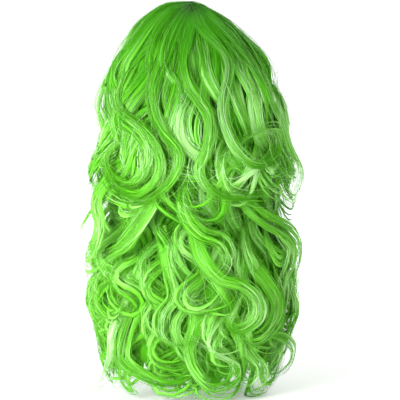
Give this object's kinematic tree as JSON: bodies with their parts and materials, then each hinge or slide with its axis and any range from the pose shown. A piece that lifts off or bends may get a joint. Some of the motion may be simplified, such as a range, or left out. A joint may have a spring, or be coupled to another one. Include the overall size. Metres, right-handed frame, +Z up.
{
  "type": "curly wig",
  "caption": "Long layered curly costume wig: a stretch cap with a middle parting, smooth crown hair that ends in big curls, and waved hair below it that hangs open round the face and neck.",
  "frame": {"origin": "crown point inside the cap, where the wig sits on the top of a head", "axes": "+Z up out of the crown, +Y out of the face, +X to the wearer's right; the picture looks along +Y at the back"},
  "size_m": [0.2502, 0.2266, 0.4541],
  "materials": {
    "hair_green": "satin",
    "cap_net": "matte"
  },
  "bodies": {
    "root": {"wig_cap": "cap_net", "crown_hair_left": "hair_green", "crown_hair_right": "hair_green", "side_hair_left": "hair_green", "back_hair_left": "hair_green", "back_hair_centre": "hair_green", "back_hair_right": "hair_green", "side_hair_right": "hair_green"}
  },
  "joints": []
}
